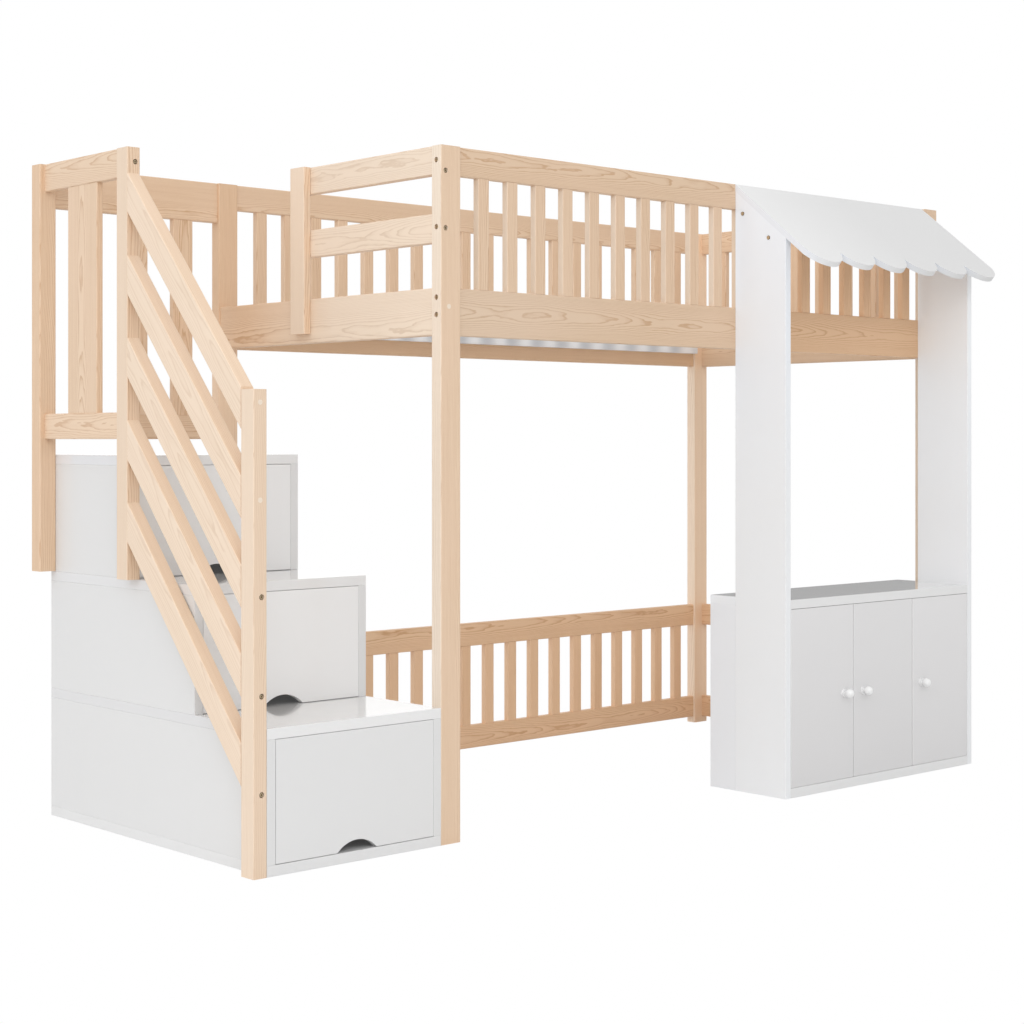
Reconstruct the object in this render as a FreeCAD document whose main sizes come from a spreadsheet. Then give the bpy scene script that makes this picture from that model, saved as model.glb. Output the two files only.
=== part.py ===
import FreeCAD, Part
import Sketcher
import math
import os
import re

# Raised single bed with a storage staircase at its left end and a small
# market-stall front (cupboard, two side boards, sloping scalloped roof) near
# its right end.  Millimetres, +Z up.  All positions in the sheet are measured
# from the outer front-left bottom corner of the bed; org_x and org_y shift the
# whole piece so that its own origin is the centre of its footprint on the floor.

V = FreeCAD.Vector
doc = FreeCAD.newDocument("loft_bed")
sheet = doc.addObject("Spreadsheet::Sheet", "Sheet")

PARAMS = [
    # origin shift
    ("org_x", 725), ("org_y", 351.07),
    # bed frame
    ("bed_long", 2000), ("bed_wide", 987), ("bed_tall", 1679),
    ("post_wide", 62), ("post_deep", 36),
    ("rail_thick", 22), ("rail_set", 7), ("end_set", 4),
    ("toprail_low", 1609), ("bedrail_low", 1222), ("bedrail_top", 1337),
    ("midrail_low", 1445), ("midrail_top", 1516),
    ("bal_wide", 35.5), ("bal_deep", 20), ("bal_inset", 1),
    ("bal_first", 125.8), ("backbal_first", 131.3), ("bal_pitch", 95.09), ("bal_count", 19),
    ("endbal_first", 108.2), ("endbal_pitch", 105), ("endbal_count", 8),
    ("guard_low", 20), ("guard_low_top", 90), ("guard_up_low", 335), ("guard_up_top", 406),
    ("entry_near", 530), ("entry_far", 592), ("entry_out", 18), ("entry_low", 1246),
    # mattress base
    ("cleat_low", 1266), ("cleat_top", 1290), ("cleat_thick", 20),
    ("slat_thick", 14), ("slat_wide", 62), ("slat_first", 90), ("slat_pitch", 106.5), ("slat_count", 17),
    # staircase
    ("stair_wide", 504), ("stair_back", 968), ("riser_two", 292), ("riser_three", 581),
    ("lid_thick", 24.5), ("tread_one", 329.5), ("tread_two", 632), ("tread_three", 933),
    ("side_thick", 23), ("backing_thick", 12),
    ("newel_thick", 36), ("newel_deep", 50), ("newel_tall", 1084),
    ("hand_thick", 34), ("hand_low", 199), ("hand_rise", 525), ("hand_tall", 96), ("hand_pitch", 198.9), ("hand_count", 5),
    ("pfront_near", 532.6), ("plat_low", 633),
    ("prear_wide", 46), ("prear_near", 943),
    ("side_face", 536), ("siderail_top_low", 1608), ("siderail_low", 973), ("siderail_low_top", 1038),
    ("sideboard_near", 686.5), ("sideboard_far", 829), ("sideboard_thick", 18),
    ("backrail_top_low", 1570), ("backboard_wide", 62), ("backboard_gap", 79.5), ("backboard_count", 3),
    # doors and their pivots
    ("door_gap", 1), ("flap_thick", 18), ("door_thick", 16), ("pivot_inset", 4.5),
    ("pin_rad", 2.5), ("pin_bore", 2.55), ("pin_seat", 2.52), ("pin_in_door", 10), ("pin_in_panel", 10),
    ("grip_rad", 79.8), ("grip_tall", 25),
    # cupboard under the stall window
    ("cab_left", 1070), ("cab_right", 1933), ("cab_front", 173), ("cab_back", 99),
    ("board_thick", 21), ("counter_top", 537), ("counter_thick", 25), ("base_thick", 26.5),
    ("leaf_gap", 2), ("leaf_wide", 271.666),
    ("knob_inset", 41), ("knob_high", 266), ("knob_rad", 13), ("knob_out", 20),
    ("foot_rad", 12), ("foot_thick", 5), ("neck_rad", 6), ("spigot_rad", 3), ("spigot_seat", 3.02), ("spigot_deep", 10),
    # sloping roof
    ("roof_left", 1070), ("roof_wide", 863), ("roof_thick", 16), ("roof_angle", 38.31),
    ("roof_top", 1673), ("roof_notch", 310), ("scallop_count", 6), ("scallop_deep", 53),
    ("roofcleat_thick", 20), ("roofcleat_tall", 50), ("roofcleat_near", 50), ("roofcleat_far", 205),
    ("roofscrew_a", 64), ("roofscrew_b", 182), ("roofscrew_drop", 49), ("screwhead_rad", 5.5),
    # bolts
    ("head_rad", 5.2), ("head_thick", 5), ("head_sink", 2.2), ("head_bore", 6.6),
    ("shank_rad", 3.4), ("shank_bore", 3.6), ("shank_long", 70), ("rail_bore", 45), ("socket_rad", 2.6),
    # wooden plugs over hidden screws
    ("plug_rad", 6), ("plug_seat", 6.02), ("plug_long", 8), ("plug_post_in", 25), ("plug_post_high", 1292),
    ("plug_newel_in", 18), ("plug_newel_low", 838), ("plug_newel_high", 1055),
    # softened edges
    ("wood_soft", 3), ("panel_soft", 1), ("door_soft", 2.5),
]
NAMES = {}
for i, (name, value) in enumerate(PARAMS):
    row = i + 1
    sheet.set("A%d" % row, name)
    sheet.set("B%d" % row, str(value))
    sheet.setAlias("B%d" % row, name)
    NAMES[name] = value
doc.recompute()


def ex(text):
    """Turn bare parameter words into references to the sheet."""
    return re.sub(r"[a-z][a-z_]*", lambda m: ("Sheet." + m.group(0)) if m.group(0) in NAMES else m.group(0), str(text))


PARTS = []          # every sub-part that is written out


def plane(body, role):
    return [o for o in body.Origin.OriginFeatures if o.Role == role][0]


def new_body(label, x, y, z):
    body = doc.addObject("PartDesign::Body", label)
    body.Label = label
    body.setExpression("Placement.Base.x", ex("(%s) - org_x" % x))
    body.setExpression("Placement.Base.y", ex("(%s) - org_y" % y))
    body.setExpression("Placement.Base.z", ex("%s" % z))
    PARTS.append(body)
    return body


def sketch_on(body, role, name, offset=None):
    sk = body.newObject("Sketcher::SketchObject", name)
    sk.AttachmentSupport = [(plane(body, role), "")]
    sk.MapMode = "FlatFace"
    if offset is not None:
        sk.setExpression("AttachmentOffset.Base.z", ex(offset))
    return sk


def rectangle(sk, wide, tall, left=None, low=None):
    """Rectangle from the sketch origin, or from (left, low)."""
    a, b = (0.0, 0.0) if left is None else (5.0, 5.0)
    pts = [V(a, b, 0), V(a + 20, b, 0), V(a + 20, b + 10, 0), V(a, b + 10, 0)]
    g = [sk.addGeometry(Part.LineSegment(pts[k], pts[(k + 1) % 4]), False) for k in range(4)]
    C = Sketcher.Constraint
    for k in range(4):
        sk.addConstraint(C("Coincident", g[k], 2, g[(k + 1) % 4], 1))
    sk.addConstraint(C("Horizontal", g[0]))
    sk.addConstraint(C("Horizontal", g[2]))
    sk.addConstraint(C("Vertical", g[1]))
    sk.addConstraint(C("Vertical", g[3]))
    if left is None:
        sk.addConstraint(C("Coincident", g[0], 1, -1, 1))
    else:
        datum(sk, C("DistanceX", -1, 1, g[0], 1, a), left)
        datum(sk, C("DistanceY", -1, 1, g[0], 1, b), low)
    datum(sk, C("DistanceX", g[0], 1, g[0], 2, 20.0), wide)
    datum(sk, C("DistanceY", g[1], 1, g[1], 2, 10.0), tall)
    return g


def datum(sk, con, text):
    n = sk.addConstraint(con)
    name = "d%d" % n
    sk.renameConstraint(n, name)
    sk.setExpression("Constraints." + name, ex(text))


def pad_of(body, sk, length, name):
    pad = body.newObject("PartDesign::Pad", name)
    pad.Profile = sk
    pad.setExpression("Length", ex(length))
    doc.recompute()
    return pad


def soften(body, base, amount, along):
    """Round the edges that run along one axis, or all of them."""
    names = []
    for n, e in enumerate(base.Shape.Edges):
        d = e.Vertexes[-1].Point.sub(e.Vertexes[0].Point)
        if d.Length < 1e-6:
            continue
        d.normalize()
        if along == "all" or abs({"x": d.x, "y": d.y, "z": d.z}[along]) > 0.999:
            names.append("Edge%d" % (n + 1))
    f = body.newObject("PartDesign::Fillet", body.Name + "_soft")
    f.Base = (base, names)
    f.setExpression("Radius", ex(amount))
    doc.recompute()
    return f


def bar(label, x, y, z, wide, deep, tall, soft="wood_soft", along="z"):
    """A straight member with its corner at (x, y, z)."""
    body = new_body(label, x, y, z)
    sk = sketch_on(body, "XY_Plane", label + "_section")
    rectangle(sk, wide, deep)
    last = pad_of(body, sk, tall, label + "_pad")
    if soft:
        last = soften(body, last, soft, along)
    return body


def row(body, axis, count, pitch):
    """Repeat the whole piece along one axis, as separate identical pieces."""
    base = body.Tip
    lp = body.newObject("PartDesign::LinearPattern", body.Name + "_row")
    lp.TransformMode = "Whole shape"
    lp.Originals = [base]
    lp.Direction = (plane(body, axis), [""])
    lp.Mode = "Spacing"
    lp.setExpression("Occurrences", ex(count))
    lp.setExpression("Offset", ex(pitch))
    body.Tip = lp
    doc.recompute()
    return lp


FACES = {  # face: (origin plane, normal of a sketch on it, pocket needs reversing)
    "left": ("YZ_Plane", V(1, 0, 0), True), "right": ("YZ_Plane", V(1, 0, 0), False),
    "front": ("XZ_Plane", V(0, -1, 0), False), "back": ("XZ_Plane", V(0, -1, 0), True),
    "bottom": ("XY_Plane", V(0, 0, 1), True), "top": ("XY_Plane", V(0, 0, 1), False),
}


def drill(body, face, u, v, rad, deep=None, at=None):
    """Round hole from one face of a member; u, v are measured from its corner.

    at is the distance of the face from the corner, for right, back and top."""
    role, normal, turn = FACES[face]
    n = len(body.Group)
    offset = None
    if at is not None:
        offset = at if face in ("right", "top") else "-(%s)" % at
    sk = sketch_on(body, role, "%s_bore%d" % (body.Name, n), offset)
    c = sk.addGeometry(Part.Circle(V(15, 15, 0), V(0, 0, 1), 4.0), False)
    C = Sketcher.Constraint
    datum(sk, C("Radius", c, 4.0), rad)
    datum(sk, C("DistanceX", -1, 1, c, 3, 15.0), u)
    datum(sk, C("DistanceY", -1, 1, c, 3, 15.0), v)
    before = body.Tip.Shape.Volume
    po = body.newObject("PartDesign::Pocket", "%s_hole%d" % (body.Name, n))
    po.Profile = sk
    po.Reversed = turn
    if deep is None:
        po.Type = "ThroughAll"
    else:
        po.setExpression("Length", ex(deep))
    doc.recompute()
    after = body.Tip.Shape.Volume
    if not after < before - 1.0:
        raise RuntimeError("hole cuts nothing in " + body.Label)
    return sk


BOLTS = []          # (sketch of the seat, direction into the wood)
SCREWS = []


def bolt_seat(body, face, u, v, at=None):
    """Counterbore for a bolt head and a clear hole for its shank."""
    sk = drill(body, face, u, v, "head_bore", "head_thick + head_sink", at)
    drill(body, face, u, v, "shank_bore", None, at)
    into = {"left": V(1, 0, 0), "right": V(-1, 0, 0), "front": V(0, 1, 0), "back": V(0, -1, 0)}[face]
    BOLTS.append((body, sk, into))


# ------------------------------------------------------------------ bed frame
toprail_tall = "bed_tall - toprail_low"
bedrail_tall = "bedrail_top - bedrail_low"
span = "bed_long - 2*post_wide"
across = "bed_wide - 2*post_deep"
post_fl = bar("post_front_left", "0", "0", "0", "post_wide", "post_deep", "bed_tall", along="z")
post_fr = bar("post_front_right", "bed_long - post_wide", "0", "0", "post_wide", "post_deep", "bed_tall", along="z")
post_bl = bar("post_back_left", "0", "bed_wide - post_deep", "0", "post_wide", "post_deep", "bed_tall", along="z")
post_br = bar("post_back_right", "bed_long - post_wide", "bed_wide - post_deep", "0", "post_wide", "post_deep", "bed_tall", along="z")

back_y = "bed_wide - rail_set - rail_thick"
fr_top = bar("front_rail_top", "post_wide", "rail_set", "toprail_low", span, "rail_thick", toprail_tall, along="x")
fr_bot = bar("front_rail_bottom", "post_wide", "rail_set", "bedrail_low", span, "rail_thick", bedrail_tall, along="x")
bk_top = bar("back_rail_top", "post_wide", back_y, "toprail_low", span, "rail_thick", toprail_tall, along="x")
bk_bot = bar("back_rail_bottom", "post_wide", back_y, "bedrail_low", span, "rail_thick", bedrail_tall, along="x")

b = bar("front_balusters", "bal_first", "rail_set + bal_inset", "bedrail_top", "bal_wide", "bal_deep", "toprail_low - bedrail_top", along="z")
row(b, "X_Axis", "bal_count", "bal_pitch")
b = bar("back_balusters", "backbal_first", back_y + " + bal_inset", "bedrail_top", "bal_wide", "bal_deep", "toprail_low - bedrail_top", along="z")
row(b, "X_Axis", "bal_count", "bal_pitch")

# the left end is open behind the entry post, where the stairs arrive
le_top = bar("left_end_rail_top", "end_set", "post_deep", "toprail_low", "rail_thick", "entry_far - post_deep", toprail_tall, along="y")
le_mid = bar("left_end_rail_middle", "end_set", "post_deep", "midrail_low", "rail_thick", "entry_far - post_deep", "midrail_top - midrail_low", along="y")
le_bot = bar("left_end_rail_bottom", "end_set", "post_deep", "bedrail_low", "rail_thick", across, bedrail_tall, along="y")
bar("entry_post", "-entry_out", "entry_near", "entry_low", "rail_thick", "entry_far - entry_near", "bed_tall - entry_low", along="z")

right_x = "bed_long - end_set - rail_thick"
re_top = bar("right_end_rail_top", right_x, "post_deep", "toprail_low", "rail_thick", across, toprail_tall, along="y")
re_bot = bar("right_end_rail_bottom", right_x, "post_deep", "bedrail_low", "rail_thick", across, bedrail_tall, along="y")
b = bar("right_end_balusters", right_x + " + bal_inset", "endbal_first", "bedrail_top", "bal_deep", "bal_wide", "toprail_low - bedrail_top", along="z")
row(b, "Y_Axis", "endbal_count", "endbal_pitch")

# low guard under the bed, along the back and the right end
b = bar("rear_guard_rails", "post_wide", back_y, "guard_low", span, "rail_thick", "guard_low_top - guard_low", along="x")
row(b, "Z_Axis", "2", "guard_up_low - guard_low")
rear_guard = b
b = bar("rear_guard_balusters", "backbal_first", back_y + " + bal_inset", "guard_low_top", "bal_wide", "bal_deep", "guard_up_low - guard_low_top", along="z")
row(b, "X_Axis", "bal_count", "bal_pitch")
b = bar("end_guard_rails", right_x, "post_deep", "guard_low", "rail_thick", across, "guard_low_top - guard_low", along="y")
row(b, "Z_Axis", "2", "guard_up_low - guard_low")
b = bar("end_guard_balusters", right_x + " + bal_inset", "endbal_first", "guard_low_top", "bal_deep", "bal_wide", "guard_up_low - guard_low_top", along="z")
row(b, "Y_Axis", "endbal_count", "endbal_pitch")

# mattress base: two ledges carry the slats
b = bar("slat_cleats", "post_wide", "rail_set + rail_thick", "cleat_low", span, "cleat_thick", "cleat_top - cleat_low", soft="panel_soft", along="x")
row(b, "Y_Axis", "2", "bed_wide - 2*rail_set - 2*rail_thick - cleat_thick")
b = bar("bed_slats", "slat_first", "rail_set + rail_thick + 1", "cleat_top", "slat_wide", "bed_wide - 2*rail_set - 2*rail_thick - 2", "slat_thick", soft="door_soft", along="y")
row(b, "X_Axis", "slat_count", "slat_pitch")

# ------------------------------------------------------------- stair railing
rail_x = "-stair_wide - newel_thick"
newel = bar("newel_post", rail_x, "0", "0", "newel_thick", "newel_deep", "newel_tall", along="z")

# five parallel sloping boards between the newel and the platform's front post
hand = new_body("handrail_boards", "-stair_wide - newel_thick", "newel_deep", "hand_low")
sk = sketch_on(hand, "YZ_Plane", "hand_side")
pts = [V(0, 0, 0), V(480, 500, 0), V(480, 600, 0), V(0, 100, 0)]
g = [sk.addGeometry(Part.LineSegment(pts[k], pts[(k + 1) % 4]), False) for k in range(4)]
C = Sketcher.Constraint
for k in range(4):
    sk.addConstraint(C("Coincident", g[k], 2, g[(k + 1) % 4], 1))
sk.addConstraint(C("Coincident", g[0], 1, -1, 1))
sk.addConstraint(C("Vertical", g[1]))
sk.addConstraint(C("Vertical", g[3]))
sk.addConstraint(C("Parallel", g[0], g[2]))
datum(sk, C("DistanceX", g[0], 1, g[0], 2, 480.0), "pfront_near - newel_deep")
datum(sk, C("DistanceY", g[0], 1, g[0], 2, 500.0), "hand_rise")
datum(sk, C("DistanceY", g[1], 1, g[1], 2, 100.0), "hand_tall")
pad = pad_of(hand, sk, "hand_thick", "hand_pad")
names = []
for n, e in enumerate(pad.Shape.Edges):
    d = e.Vertexes[-1].Point.sub(e.Vertexes[0].Point)
    d.normalize()
    if abs(d.x) < 0.01 and 0.2 < abs(d.y) < 0.98:
        names.append("Edge%d" % (n + 1))
f = hand.newObject("PartDesign::Fillet", "hand_soft")
f.Base = (pad, names)
f.setExpression("Radius", ex("wood_soft"))
doc.recompute()
row(hand, "Z_Axis", "hand_count", "hand_pitch")

# platform guard: front and rear posts, two rails and one wide board
pfront = bar("platform_post_front", rail_x, "pfront_near", "plat_low", "newel_thick", "newel_deep", "bed_tall - plat_low", along="z")
prear = bar("platform_post_rear", "-stair_wide - prear_wide", "prear_near", "plat_low", "prear_wide", "bed_wide - prear_near", "bed_tall - plat_low", along="z")
side_near = "pfront_near + newel_deep"
side_run = "prear_near - pfront_near - newel_deep"
sr_top = bar("platform_side_rail_top", "-side_face", side_near, "siderail_top_low", "rail_thick", side_run, "bed_tall - siderail_top_low", along="y")
sr_bot = bar("platform_side_rail_bottom", "-side_face", side_near, "siderail_low", "rail_thick", side_run, "siderail_low_top - siderail_low", along="y")
bar("platform_side_board", "-side_face + 2", "sideboard_near", "siderail_low_top", "sideboard_thick", "sideboard_far - sideboard_near", "siderail_top_low - siderail_low_top", along="z")
br_top = bar("platform_back_rail_top", "-stair_wide", back_y, "backrail_top_low", "stair_wide", "rail_thick", "bed_tall - backrail_top_low", along="x")
br_bot = bar("platform_back_rail_bottom", "-stair_wide", back_y, "siderail_low", "stair_wide", "rail_thick", "siderail_low_top - siderail_low", along="x")
b = bar("platform_back_boards", "-stair_wide + backboard_gap", back_y + " + bal_inset", "siderail_low_top", "backboard_wide", "bal_deep", "backrail_top_low - siderail_low_top", along="z")
row(b, "X_Axis", "backboard_count", "backboard_wide + backboard_gap")

# ------------------------------------------------------------- storage stairs
# Three stacked boxes.  Each has two side panels, a back and a lid that is the
# tread; the lowest also has a base plate.
bar("stair_base_plate", "-stair_wide", "0", "0", "stair_wide", "stair_back", "lid_thick", soft="panel_soft", along="all")
TIERS = [("one", "0", "lid_thick"), ("two", "riser_two", "tread_one"), ("three", "riser_three", "tread_two")]
sides = []
backs = []
lids = []
for tag, near, low in TIERS:
    top = "tread_%s - lid_thick" % tag
    s = bar("stair_side_panels_" + tag, "-stair_wide", near, low, "side_thick", "stair_back - (%s)" % near, "%s - (%s)" % (top, low), soft="panel_soft", along="all")
    sides.append(s)
    backs.append(bar("stair_back_" + tag, "-stair_wide + side_thick", "stair_back - backing_thick", low, "stair_wide - 2*side_thick", "backing_thick", "%s - (%s)" % (top, low), soft=None))
    lids.append(bar("stair_tread_" + tag, "-stair_wide", near, top, "stair_wide", "stair_back - (%s)" % near, "lid_thick", soft="panel_soft", along="all"))



def gather(label, bodies):
    """Several loose boards of one kind kept together as one named group."""
    grp = doc.addObject("Part::Compound", label)
    grp.Label = label
    grp.Links = bodies
    for one in bodies:
        PARTS.remove(one)
    PARTS.append(grp)
    return grp


gather("stair_back_panels", backs)

# flap doors: hung at the top, opened by an arched finger cut-out at the bottom
flaps = []
for tag, near, low in TIERS:
    top = "tread_%s - lid_thick - door_gap" % tag
    low_z = "%s + door_gap" % low
    wide = "stair_wide - 2*side_thick - 2*door_gap"
    d = bar("stair_door_" + tag, "-stair_wide + side_thick + door_gap", near, low_z, wide, "flap_thick", "%s - (%s)" % (top, low_z), soft="door_soft", along="x")
    # arched grip
    sk = sketch_on(d, "XZ_Plane", "grip_" + tag)
    c = sk.addGeometry(Part.Circle(V(200, -40, 0), V(0, 0, 1), 60.0), False)
    datum(sk, C("Radius", c, 60.0), "grip_rad")
    datum(sk, C("DistanceX", -1, 1, c, 3, 200.0), "(%s)/2" % wide)
    datum(sk, C("DistanceY", -1, 1, c, 3, -40.0), "grip_tall - grip_rad")
    before = d.Tip.Shape.Volume
    po = d.newObject("PartDesign::Pocket", "gripcut_" + tag)
    po.Profile = sk
    po.Type = "ThroughAll"
    doc.recompute()
    if not d.Tip.Shape.Volume < before - 1000:
        raise RuntimeError("grip not cut")
    # blind bores for the pivots, near the top front edge
    zt = "%s - (%s) - pivot_inset" % (top, low_z)
    drill(d, "left", "pivot_inset", zt, "pin_bore", "pin_in_door")
    drill(d, "right", "pivot_inset", zt, "pin_bore", "pin_in_door", at=wide)
    flaps.append(d)

# seats for the pivots in the side panels, then the second panel of each pair
for s, (tag, near, low) in zip(sides, TIERS):
    zt = "tread_%s - lid_thick - door_gap - pivot_inset - (%s)" % (tag, low)
    drill(s, "right", "pivot_inset", zt, "pin_seat", "pin_in_panel", at="side_thick")
    # the right-hand panel is the mirror image
    mir = s.newObject("PartDesign::Mirrored", s.Name + "_pair")
    mir.TransformMode = "Whole shape"
    mir.Originals = [s.Tip]
    ref = s.newObject("Sketcher::SketchObject", s.Name + "_middle")
    ref.AttachmentSupport = [(plane(s, "YZ_Plane"), "")]
    ref.MapMode = "FlatFace"
    ref.setExpression("AttachmentOffset.Base.z", ex("stair_wide/2"))
    ref.addGeometry(Part.LineSegment(V(0, 0, 0), V(0, 50, 0)), True)
    doc.recompute()
    mir.MirrorPlane = (ref, [""])
    s.Tip = mir
    doc.recompute()

gather("stair_side_panels", sides)

# ------------------------------------------------------------------ cupboard
inner = "cab_right - cab_left - 2*board_thick"
theta = "roof_angle"
# tall side boards with sloping tops that carry the roof
sb = new_body("stall_side_boards", "cab_left", "-cab_front", "0")
sk = sketch_on(sb, "YZ_Plane", "side_board_shape")
pts = [V(0, 0, 0), V(180, 0, 0), V(180, 1650, 0), V(0, 1500, 0)]
g = [sk.addGeometry(Part.LineSegment(pts[k], pts[(k + 1) % 4]), False) for k in range(4)]
for k in range(4):
    sk.addConstraint(C("Coincident", g[k], 2, g[(k + 1) % 4], 1))
sk.addConstraint(C("Coincident", g[0], 1, -1, 1))
sk.addConstraint(C("Horizontal", g[0]))
sk.addConstraint(C("Vertical", g[1]))
sk.addConstraint(C("Vertical", g[3]))
datum(sk, C("DistanceX", g[0], 1, g[0], 2, 180.0), "cab_front + rail_set")
datum(sk, C("DistanceY", g[1], 1, g[1], 2, 1650.0), "roof_top - roof_thick/cos(roof_angle * 1deg) + rail_set*tan(roof_angle * 1deg)")
datum(sk, C("DistanceY", -1, 1, g[3], 1, 1500.0), "roof_top - roof_thick/cos(roof_angle * 1deg) - cab_front*tan(roof_angle * 1deg)")
pad = pad_of(sb, sk, "board_thick", "side_board_pad")
soften(sb, pad, "panel_soft", "z")
# two screws through each board into the roof cleats: place along the slope
for k in ("a", "b"):
    yy = "(cab_front - roofscrew_%s*cos(roof_angle*1deg) + roofscrew_drop*sin(roof_angle*1deg))" % k
    zz = "(roof_top - roofscrew_%s*sin(roof_angle*1deg) - roofscrew_drop*cos(roof_angle*1deg))" % k
    drill(sb, "left", yy, zz, "shank_bore", None)
row(sb, "X_Axis", "2", "cab_right - cab_left - board_thick")

# shorter boards close the sides behind them
b = bar("cupboard_rear_sides", "cab_left", "rail_set", "0", "board_thick", "cab_back - rail_set", "counter_top - counter_thick", soft=None)
row(b, "X_Axis", "2", "cab_right - cab_left - board_thick")

base = bar("cupboard_base", "cab_left + board_thick", "-cab_front", "0", inner, "cab_front + cab_back", "base_thick", soft="panel_soft", along="x")

# the counter is notched round the tall boards and covers the rear ones
counter = new_body("cupboard_counter", "cab_left", "-cab_front", "counter_top - counter_thick")
sk = sketch_on(counter, "XY_Plane", "counter_shape")
pts = [V(16, 0, 0), V(830, 0, 0), V(830, 180, 0), V(850, 180, 0), V(850, 270, 0), V(0, 270, 0), V(0, 180, 0), V(16, 180, 0)]
g = [sk.addGeometry(Part.LineSegment(pts[k], pts[(k + 1) % 8]), False) for k in range(8)]
for k in range(8):
    sk.addConstraint(C("Coincident", g[k], 2, g[(k + 1) % 8], 1))
for k in (0, 2, 4, 6):
    sk.addConstraint(C("Horizontal", g[k]))
for k in (1, 3, 5, 7):
    sk.addConstraint(C("Vertical", g[k]))
sk.addConstraint(C("PointOnObject", g[0], 1, -1))
sk.addConstraint(C("PointOnObject", g[5], 1, -2))
datum(sk, C("DistanceX", -1, 1, g[0], 1, 16.0), "board_thick")
datum(sk, C("DistanceX", g[0], 1, g[0], 2, 814.0), inner)
datum(sk, C("DistanceX", g[4], 2, g[4], 1, 850.0), "cab_right - cab_left")
datum(sk, C("DistanceY", g[1], 1, g[1], 2, 180.0), "cab_front + rail_set")
datum(sk, C("DistanceY", g[7], 2, g[7], 1, 180.0), "cab_front + rail_set")
datum(sk, C("DistanceY", g[3], 1, g[3], 2, 90.0), "cab_back - rail_set")
pad = pad_of(counter, sk, "counter_thick", "counter_pad")
soften(counter, pad, "panel_soft", "x")

bar("cupboard_divider", "cab_left + board_thick + 2*leaf_wide + door_gap + 1.5*leaf_gap - board_thick/2", "-cab_front + door_thick + 2", "base_thick", "board_thick", "cab_front + cab_back - door_thick - 2 - backing_thick", "counter_top - counter_thick - base_thick", soft=None)
bar("cupboard_back", "cab_left + board_thick", "cab_back - backing_thick", "base_thick", inner, "backing_thick", "counter_top - counter_thick - base_thick", soft=None)

# three doors between the side boards
leaf_z = "base_thick + door_gap"
leaf_tall = "counter_top - counter_thick - base_thick - 2*door_gap"
LEAVES = []
for k in range(3):
    x0 = "cab_left + board_thick + door_gap + %d*(leaf_wide + leaf_gap)" % k
    d = bar("cupboard_door_%s" % ("left", "middle", "right")[k], x0, "-cab_front", leaf_z, "leaf_wide", "door_thick", leaf_tall, soft="door_soft", along="z")
    hinge_u = "pivot_inset" if k == 0 else "leaf_wide - pivot_inset"
    knob_u = "leaf_wide - knob_inset" if k == 0 else "knob_inset"
    drill(d, "bottom", hinge_u, "pivot_inset", "pin_bore", "pin_in_door")
    drill(d, "top", hinge_u, "pivot_inset", "pin_bore", "pin_in_door", at=leaf_tall)
    drill(d, "front", knob_u, "knob_high - (%s)" % leaf_z, "spigot_seat", "spigot_deep + 0.5")
    LEAVES.append((d, x0, hinge_u, knob_u))
    # pivot seats above and below
    off = "%s + (%s) - cab_left" % (x0, hinge_u)
    drill(base, "top", off + " - board_thick", "pivot_inset", "pin_seat", "pin_in_panel", at="base_thick")
    drill(counter, "bottom", off, "pivot_inset", "pin_seat", "pin_in_panel")

# turned knobs: foot, neck and ball, held by a spigot in the door
for k, (d, x0, hinge_u, knob_u) in enumerate(LEAVES):
    tag = ("left", "middle", "right")[k]
    cx = "%s + (%s) - org_x" % (x0, knob_u)
    pieces = []
    for nm, rad, long_, back in (("spigot", "spigot_rad", "spigot_deep + foot_thick", "spigot_deep"),
                                 ("foot", "foot_rad", "foot_thick", "0"),
                                 ("neck", "neck_rad", "knob_out", "0")):
        c = doc.addObject("Part::Cylinder", "knob_%s_%s" % (nm, tag))
        c.setExpression("Radius", ex(rad))
        c.setExpression("Height", ex(long_))
        c.Placement = FreeCAD.Placement(V(0, 0, 0), FreeCAD.Rotation(V(1, 0, 0), 90))
        c.setExpression("Placement.Base.x", ex(cx))
        c.setExpression("Placement.Base.y", ex("-cab_front - org_y + %s" % back))
        c.setExpression("Placement.Base.z", ex("knob_high"))
        pieces.append(c)
    ball = doc.addObject("Part::Sphere", "knob_ball_" + tag)
    ball.setExpression("Radius", ex("knob_rad"))
    ball.Placement = FreeCAD.Placement(V(0, 0, 0), FreeCAD.Rotation(V(1, 0, 0), 90))
    ball.setExpression("Placement.Base.x", ex(cx))
    ball.setExpression("Placement.Base.y", ex("-cab_front - org_y - knob_out"))
    ball.setExpression("Placement.Base.z", ex("knob_high"))
    pieces.append(ball)
    fuse = doc.addObject("Part::MultiFuse", "cupboard_knob_" + tag)
    fuse.Label = "cupboard_knob_" + tag
    fuse.Shapes = pieces
    PARTS.append(fuse)
doc.recompute()

# ----------------------------------------------------------------------- roof
# The roof's own axes: y runs up the slope, z stands out of the upper face.
roof = new_body("roof_panel", "roof_left", "0", "roof_top")
roof.Placement.Rotation = FreeCAD.Rotation(V(1, 0, 0), NAMES["roof_angle"])
sk = sketch_on(roof, "XY_Plane", "roof_shape", "-roof_thick")
rise = "rail_set/cos(roof_angle * 1deg)"
pts = [V(0, -300, 0), V(800, -300, 0), V(800, 8, 0), V(0, 8, 0)]
g = [sk.addGeometry(Part.LineSegment(pts[k], pts[(k + 1) % 4]), False) for k in range(4)]
for k in range(4):
    sk.addConstraint(C("Coincident", g[k], 2, g[(k + 1) % 4], 1))
sk.addConstraint(C("Horizontal", g[0]))
sk.addConstraint(C("Horizontal", g[2]))
sk.addConstraint(C("Vertical", g[1]))
sk.addConstraint(C("PointOnObject", g[0], 1, -2))
sk.addConstraint(C("Vertical", g[3]))
datum(sk, C("DistanceX", g[0], 1, g[0], 2, 800.0), "roof_wide")
datum(sk, C("DistanceY", g[0], 1, -1, 1, 300.0), "roof_notch")
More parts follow.
